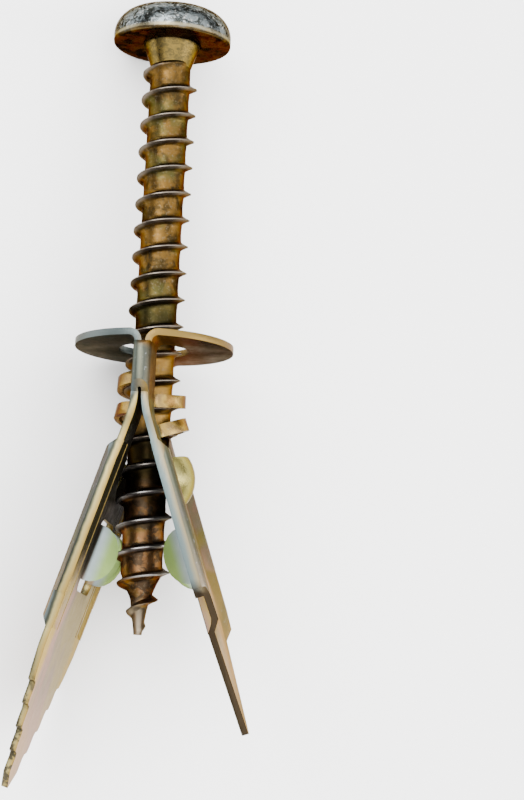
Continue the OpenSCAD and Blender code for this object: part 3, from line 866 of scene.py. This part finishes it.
def head_profile(screw):
    """Flare, flat seat with its relief, rounded rim, shoulder and shallow dome of the pan head."""
    top = screw.length
    start = top - FLARE_LEN
    slope = math.radians(DOME_ANGLE)
    shoulder = screw.head_radius - SHOULDER_RADIUS
    dome = (shoulder + SHOULDER_RADIUS * math.sin(slope)) / math.sin(slope)
    high = HEAD_SIDE + SHOULDER_RADIUS * math.cos(slope) + dome * (1 - math.cos(slope))
    points = [(0.0, start - BLIND_TIP), (screw.core_radius - BLIND_INSET, start - BLIND_RIM)]
    for t in (0.0, 0.25, 0.5, 0.75):
        points.append((screw.core_radius + (FLARE_RADIUS - screw.core_radius) * t, top - FLARE_LEN * (1 - t)))
    points += [(FLARE_RADIUS, top), (FLARE_RADIUS, top + RELIEF_DEPTH), (FLARE_RADIUS + RELIEF_WIDTH, top)]
    for a in (math.radians(angle) for angle in (0, 22, 45, 68, 90)):
        points.append((screw.head_radius - RIM_RADIUS * (1 - math.sin(a)), top + RIM_RADIUS * (1 - math.cos(a))))
    points += [(r, top + h) for r, h in arc((shoulder, HEAD_SIDE), SHOULDER_RADIUS, 0, 90 - DOME_ANGLE, 14)]
    points += [(r, top + h) for r, h in arc((0.0, high - dome), dome, 90 - DOME_ANGLE, 90, 8)][1:-1]
    points.append((0.0, top + high))
    return points, high


def cross_cutter(screw, high):
    """Tapered cross that is cut out of the head for the driver."""
    form = bmesh.new()
    top = screw.length + high + CUTTER_RISE
    for turn in (0, 90):
        spin = Matrix.Rotation(math.radians(turn), 3, "Y")
        rings = []
        for width, slot, depth in CUTTER_RINGS:
            long, wide = RECESS_WIDTH / 2 * width, RECESS_SLOT / 2 * slot
            corners = ((-long, -wide), (long, -wide), (long, wide), (-long, wide))
            rings.append([form.verts.new(spin @ Vector((x, top - depth, z))) for x, z in corners])
        form.faces.new(rings[0])
        form.faces.new(rings[-1][::-1])
        for upper, lower in zip(rings, rings[1:]):
            for i in range(4):
                form.faces.new((upper[i], lower[i], lower[(i + 1) % 4], upper[(i + 1) % 4]))
    bmesh.ops.recalc_face_normals(form, faces=form.faces)
    return mesh_of(form, "cross cutter")


def on_screw(mesh, screw):
    """Puts a mesh that is drawn from the screw's point at its place on the lying plug."""
    mesh.transform(LYING @ Matrix.Translation((0, -screw.depth, 0)))


def screw_place(tree):
    """(place in millimetres, distance from the axis, height in the plug's own axes)."""
    place = plug_place(tree)
    x, y, z = axes_of(tree, place)
    return place, (x * x + z * z) ** 0.5, y


def shank_material(screw):
    """Bronze core with dark clouds, coppery lower down, painted shade on the core inside the plug and painted
    reflections among the copper; crests rolled and rubbed silver, partly painted highlight.
    """
    material, tree, shader = new_material("bronze_zinc_shank")
    place, radius, height = screw_place(tree)
    cloud = tree.noise(stretched(tree, place, (1.0, 0.8, 1.0)), 0.8, detail=4.0, rough=0.6, twist=0.5)
    tone = tree.mix(cloud.rise(0.42, 0.60, smooth=True), tuple(screw.core_colour), SHANK_CLOUD)
    green = tree.noise(place, 0.35, detail=3.0, rough=0.6).rise(0.48, 0.60, smooth=True)
    tone = tree.over(tone, green, SHANK_GREEN, share=0.6)
    warm = height.rise(*WARM_TOP_IN) * height.rise(*WARM_FOOT_IN)
    tone = tree.over(tone, warm, SHANK_WARM, share=0.7)
    # Painted shade: the core turns near black from just above the flange down between the leaves, which shade it,
    # except where it shows warm between the strips.
    dark = height.rise(*SHADE_TOP_IN, smooth=True) * height.rise(*SHADE_FOOT_IN, smooth=True) * (1.0 - warm)
    dark = dark * height.rise(*SHADE_DEEP_IN, 0.75, 1.0)
    tone = tree.over(tone, dark, SHANK_PAINTED_SHADE, share=0.94)
    copper = height.rise(*COPPER_IN, smooth=True) * cloud.rise(0.40, 0.56, 0.2, 1.0)
    tone = tree.over(tone, copper, SHANK_COPPER, share=0.75)
    # Painted reflections: darker clouds among the copper lower down stand in for reflections of the darker
    # surroundings.
    painted_reflection = tree.noise(place, 0.9, detail=3.0, rough=0.6, twist=0.7).rise(0.46, 0.56, smooth=True)
    tone = tree.over(tone, painted_reflection * height.rise(*PAINTED_REFLECTION_IN), SHANK_PAINTED_REFLECTION, share=0.8)
    speck = tree.noise(place, 4.5, detail=5.0, rough=0.75).rise(0.55, 0.70)
    tone = tree.over(tone, speck * (1.0 - dark), SHANK_SPECK, share=0.4)
    tone = tree.over(tone, height.rise(*TIP_IN), SHANK_TIP, share=0.7)
    # The crests: silver where rubbed, partly real wear and partly a painted highlight, the highlight brighter lower
    # down.
    rubbed = tree.noise(place, 1.4, detail=4.0, rough=0.7).rise(0.28, 0.48, 0.45, 1.0)
    bright = tree.mix(height.rise(*CREST_HIGHLIGHT_IN), tuple(screw.crest_colour), CREST_HIGHLIGHT)
    tone = tree.mix(radius.rise(*CREST_IN, smooth=True) * rubbed, tone, bright)
    rough = tree.noise(place, 1.8, detail=4.0, rough=0.65).rise(*NOISE_SPAN, 0.28, 0.50)
    rings = tree.noise(stretched(tree, place, (0.35, 5.0, 0.35)), 2.2, detail=3.0, rough=0.6)
    relief = rings * 0.6 + tree.noise(place, 5.0, detail=4.0, rough=0.65) * 0.6
    coat(tree, shader, tone, rough, relief, 1.0, SCREW_SHEEN, strength=0.3, distance=0.00005)
    return material


def head_material(screw):
    """Head: gold under the rim, kept dim as painted shade, silver-blue and marked above it, with a painted highlight
    between.
    """
    material, tree, shader = new_material("bronze_zinc_head")
    place, radius, height = screw_place(tree)
    above = height - (screw.length - screw.depth) / MM
    cloud = tree.noise(place, 0.7, detail=3.0, rough=0.6, twist=0.5).rise(0.42, 0.62, smooth=True)
    # Under the rim: the gold of the plating with umber clouds, kept dim as painted shade.
    gold = tree.mix(cloud, HEAD_GOLD_IN_SHADE, HEAD_UMBER)
    mark = tree.noise(stretched(tree, place, (1.0, 1.6, 1.0)), 1.9, detail=5.0, rough=0.75, twist=0.8)
    silver = tree.mix(mark.rise(0.44, 0.54), tuple(screw.head_colour), HEAD_MARK)
    silver = tree.mix(tree.noise(place, 3.4, detail=4.0, rough=0.7).rise(0.56, 0.66), silver, HEAD_SPECK)
    flare = above.rise(*FLARE_IN) * radius.rise(*FLARE_SIDE_IN)
    gold = tree.over(gold, flare, tree.mix(mark.rise(0.42, 0.58), FLARE_GOLD, FLARE_MARK), share=0.9)
    edge = above + tree.noise(place, 1.2, detail=3.0, rough=0.6) * 0.5
    tone = tree.mix(edge.rise(*SILVER_IN, smooth=True), gold, silver)
    # Painted highlight: a pale gold band just above the seat, where the head's side turns under.
    line = above.rise(*HIGHLIGHT_FOOT_IN) * above.rise(*HIGHLIGHT_TOP_IN)
    tone = tree.over(tone, line, HEAD_HIGHLIGHT_LINE, share=0.6)
    rough = tree.noise(place, 1.6, detail=4.0, rough=0.65).rise(*NOISE_SPAN, 0.20, 0.38)
    relief = mark * 0.7 + tree.noise(place, 5.0, detail=4.0, rough=0.65) * 0.4
    coat(tree, shader, tone, rough, relief, 1.0, SCREW_SHEEN, strength=0.25, distance=0.00006)
    return material


def wound_shank(screw):
    """The core with its thread, closed at both ends."""
    turns = (THREAD_TOP + 2 * screw.pitch) / screw.pitch + SPARE_TURNS
    shank = new_object("threaded_shank", bpy.data.meshes.new("threaded_shank"))
    winding = shank.modifiers.new("wound thread", "NODES")
    winding.node_group = thread_nodes()
    for name, value in {
        "Core radius": screw.core_radius, "Crest radius": screw.crest_radius, "Pitch": screw.pitch,
        "Top": THREAD_TOP, "Turn": math.radians(THREAD_TURN), "Fade": FADE_LEN, "Point length": POINT_LEN,
        "Slender length": SLENDER_LEN, "Slender radius": SLENDER_RADIUS, "Tip radius": TIP_RADIUS,
        "Root width": ROOT_WIDTH, "Crest width": CREST_WIDTH, "Turns": turns,
        "Rows": round(turns * screw.steps) + 1, "Material": shank_material(screw),
    }.items():
        set_input(winding, name, value)
    bpy.context.view_layer.update()
    made_plain(shank)
    form = bmesh.new()
    form.from_mesh(shank.data)
    closed(form)
    form.to_mesh(shank.data)
    form.free()
    on_screw(shank.data, screw)
    return shank


def pan_head(screw):
    """The head with its flare, and the cross recess cut out of it."""
    profile, high = head_profile(screw)
    form = bmesh.new()
    lathe(form, profile)
    head = new_object("pan_head", mesh_of(form, "pan_head"))
    cutter = new_object("cross cutter", cross_cutter(screw, high))
    cut = head.modifiers.new("cross recess", "BOOLEAN")
    cut.operation = "DIFFERENCE"
    cut.solver = "EXACT"
    cut.use_self = True
    cut.object = cutter
    bpy.context.view_layer.update()
    made_plain(head)
    bpy.data.objects.remove(cutter)
    on_screw(head.data, screw)
    head.data.materials.clear()
    head.data.materials.append(head_material(screw))
    return head


class PLUG_OT_cut_screw(bpy.types.Operator):
    """Makes the screw: a wound thread on its core, and a pan head with a cross recess"""

    bl_idname = "plug.cut_screw"
    bl_label = "Pan-head screw"

    def execute(self, context):
        screw = context.scene.plug_screw
        shank = wound_shank(screw)
        head = pan_head(screw)
        for piece, sharp in ((shank, SHANK_SHARP), (head, HEAD_SHARP)):
            shade_smooth(piece, sharp)
            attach(piece, "screw")
        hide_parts("screw")
        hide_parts("screw")
        return {"FINISHED"}


# ---------------------------------------------------------------- stage

# Camera in the plug's own axes: place in millimetres, roll, pitch and yaw in degrees.
CAMERA_PLACE = (23.6097, -32.8861, 165.3490)
CAMERA_TURN = (-2.88, -10.04, -5.29)
LENS = 67.9728
SENSOR = 24.0
CLIP = (0.01, 10.0)

# Floor: half its side and its drop below the plug in metres, and the tone and grain it turns to.
FLOOR_HALF = 2.0
FLOOR_DROP = 0.00002
FLOOR_GREY = (0.85, 0.85, 0.85)
FLOOR_GRAIN = 40.0

# Light from above: the horizon's tone and white, and between which heights one turns to the other.
HORIZON = (0.06, 0.06, 0.062)
WHITE = (1.0, 1.0, 1.0)
DOME_IN = (0.20, 0.85)

# Soft lights: name, place and size in metres, share of the key light's power, and colour.
LIGHTS = (
    ("key", (-0.22, 0.16, 0.30), (0.22, 0.22), 1.0, WHITE),
    ("side", (0.30, 0.02, 0.16), (0.10, 0.30), 0.5, (1.0, 0.97, 0.92)),
    ("low", (0.02, -0.30, 0.20), (0.30, 0.10), 0.35, WHITE),
)
LIGHTS_AIM = (0, 0, 0.006)


def pale_floor(stage):
    """The plain floor just below the plug."""
    material, tree, shader = new_material("pale_floor")
    grain = tree.noise(object_place(tree), FLOOR_GRAIN)
    link(tree, tree.mix(grain * 0.02, tuple(stage.floor_colour), FLOOR_GREY), shader, "Base Color")
    shader.inputs["Roughness"].default_value = 0.9
    shader.inputs["Specular IOR Level"].default_value = 0.1
    form = bmesh.new()
    bmesh.ops.create_grid(form, x_segments=8, y_segments=8, size=FLOOR_HALF)
    floor = new_object("floor", mesh_of(form, "floor"))
    floor.location = (0, 0, -FLOOR_DROP)
    floor.data.materials.append(material)
    return floor


def plain_light(strength):
    """A world that is white above and dim at its horizon."""
    world = bpy.data.worlds.new("plain light")
    world.use_nodes = True
    sky = world.node_tree.nodes["Background"]
    sky.inputs["Strength"].default_value = strength
    tree = Tree(world.node_tree)
    height = axes_of(tree, tree.add("ShaderNodeTexCoord"))[2]
    link(tree, tree.mix(height.rise(*DOME_IN, smooth=True), HORIZON, WHITE), sky, "Color")
    return world


def soft_light(name, place, size, power, colour):
    """A rectangular light that is turned to the plug."""
    lamp = bpy.data.lights.new(name, "AREA")
    lamp.shape = "RECTANGLE"
    lamp.size, lamp.size_y = size
    lamp.energy = power
    lamp.color = colour
    holder = new_object(name, lamp)
    holder.location = place
    holder.rotation_mode = "QUATERNION"
    holder.rotation_quaternion = (Vector(LIGHTS_AIM) - Vector(place)).to_track_quat("-Z", "Y")


def set_camera():
    """The camera at its place over the lying plug."""
    camera = bpy.data.cameras.new("camera")
    camera.sensor_width = SENSOR
    camera.lens = LENS
    camera.clip_start, camera.clip_end = CLIP
    holder = new_object("camera", camera)
    roll, pitch, yaw = (math.radians(a) for a in CAMERA_TURN)
    seen = Matrix.Rotation(roll, 4, "Z") @ Matrix.Rotation(pitch, 4, "X") @ Matrix.Rotation(yaw, 4, "Y")
    turn = LYING.to_3x3().to_4x4() @ seen.transposed()
    holder.matrix_world = Matrix.Translation(LYING @ (Vector(CAMERA_PLACE) * MM)) @ turn
    return holder


class PLUG_OT_set_stage(bpy.types.Operator):
    """Sets the pale floor, the soft lights and the camera"""

    bl_idname = "plug.set_stage"
    bl_label = "Stage"

    def execute(self, context):
        stage = context.scene.plug_stage
        floor = pale_floor(stage)
        context.scene.world = plain_light(stage.sky)
        for name, place, size, share, colour in LIGHTS:
            soft_light(name, place, size, stage.key * share, colour)
        context.scene.camera = set_camera()
        return {"FINISHED"}


class PLUG_PT_panel(bpy.types.Panel):
    """Lists the pieces of the plug and their settings"""

    bl_idname = "PLUG_PT_panel"
    bl_label = "Plasterboard plug"
    bl_space_type = "VIEW_3D"
    bl_region_type = "UI"
    bl_category = "Plug"

    def draw(self, context):
        layout = self.layout
        for settings, operator in (
            (context.scene.plug_sheet, PLUG_OT_fold_sheet),
            (context.scene.plug_screw, PLUG_OT_cut_screw),
            (context.scene.plug_stage, PLUG_OT_set_stage),
        ):
            box = layout.box()
            for name in settings.bl_rna.properties.keys():
                if name not in {"rna_type", "name"}:
                    box.prop(settings, name)
            box.operator(operator.bl_idname)


CLASSES = (
    SheetSettings, ScrewSettings, StageSettings,
    PLUG_OT_fold_sheet, PLUG_OT_cut_screw, PLUG_OT_set_stage, PLUG_PT_panel,
)


def register():
    for made in CLASSES:
        bpy.utils.register_class(made)
    bpy.types.Scene.plug_sheet = PointerProperty(type=SheetSettings)
    bpy.types.Scene.plug_screw = PointerProperty(type=ScrewSettings)
    bpy.types.Scene.plug_stage = PointerProperty(type=StageSettings)


def unregister():
    del bpy.types.Scene.plug_stage
    del bpy.types.Scene.plug_screw
    del bpy.types.Scene.plug_sheet
    for made in reversed(CLASSES):
        bpy.utils.unregister_class(made)


def main():
    register()
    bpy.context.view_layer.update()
    bpy.ops.plug.fold_sheet()
    bpy.ops.plug.cut_screw()
    bpy.ops.plug.set_stage()


if __name__ == "__main__":
    main()
